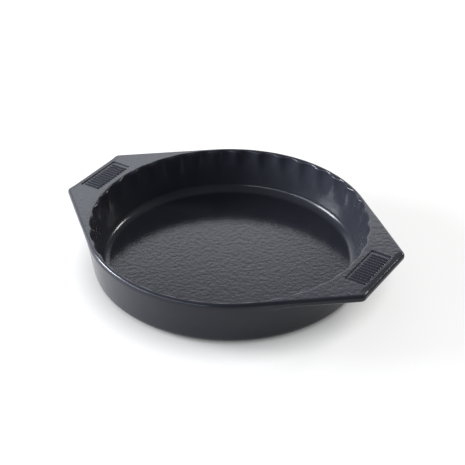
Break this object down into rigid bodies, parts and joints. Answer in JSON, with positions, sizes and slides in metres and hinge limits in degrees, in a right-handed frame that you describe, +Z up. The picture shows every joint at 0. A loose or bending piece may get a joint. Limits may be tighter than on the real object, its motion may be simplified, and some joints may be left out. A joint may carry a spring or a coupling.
{
  "type": "pie dish",
  "caption": "Round ceramic pie dish with a fluted inner wall, a flat floor, lug handles with ribbed grip panels and a bare foot ring.",
  "frame": {"origin": "on the table, under the middle of the dish", "axes": "+X along the two handles, +Z up out of the mouth of the dish"},
  "size_m": [0.327, 0.27, 0.0475],
  "materials": {
    "glaze": "satin",
    "bare_clay": "matte"
  },
  "bodies": {
    "root": {"bowl": "glaze", "handle_left": "glaze", "handle_right": "glaze", "grip_plate_left": "glaze", "grip_plate_right": "glaze", "foot_ring": "bare_clay"}
  },
  "joints": []
}
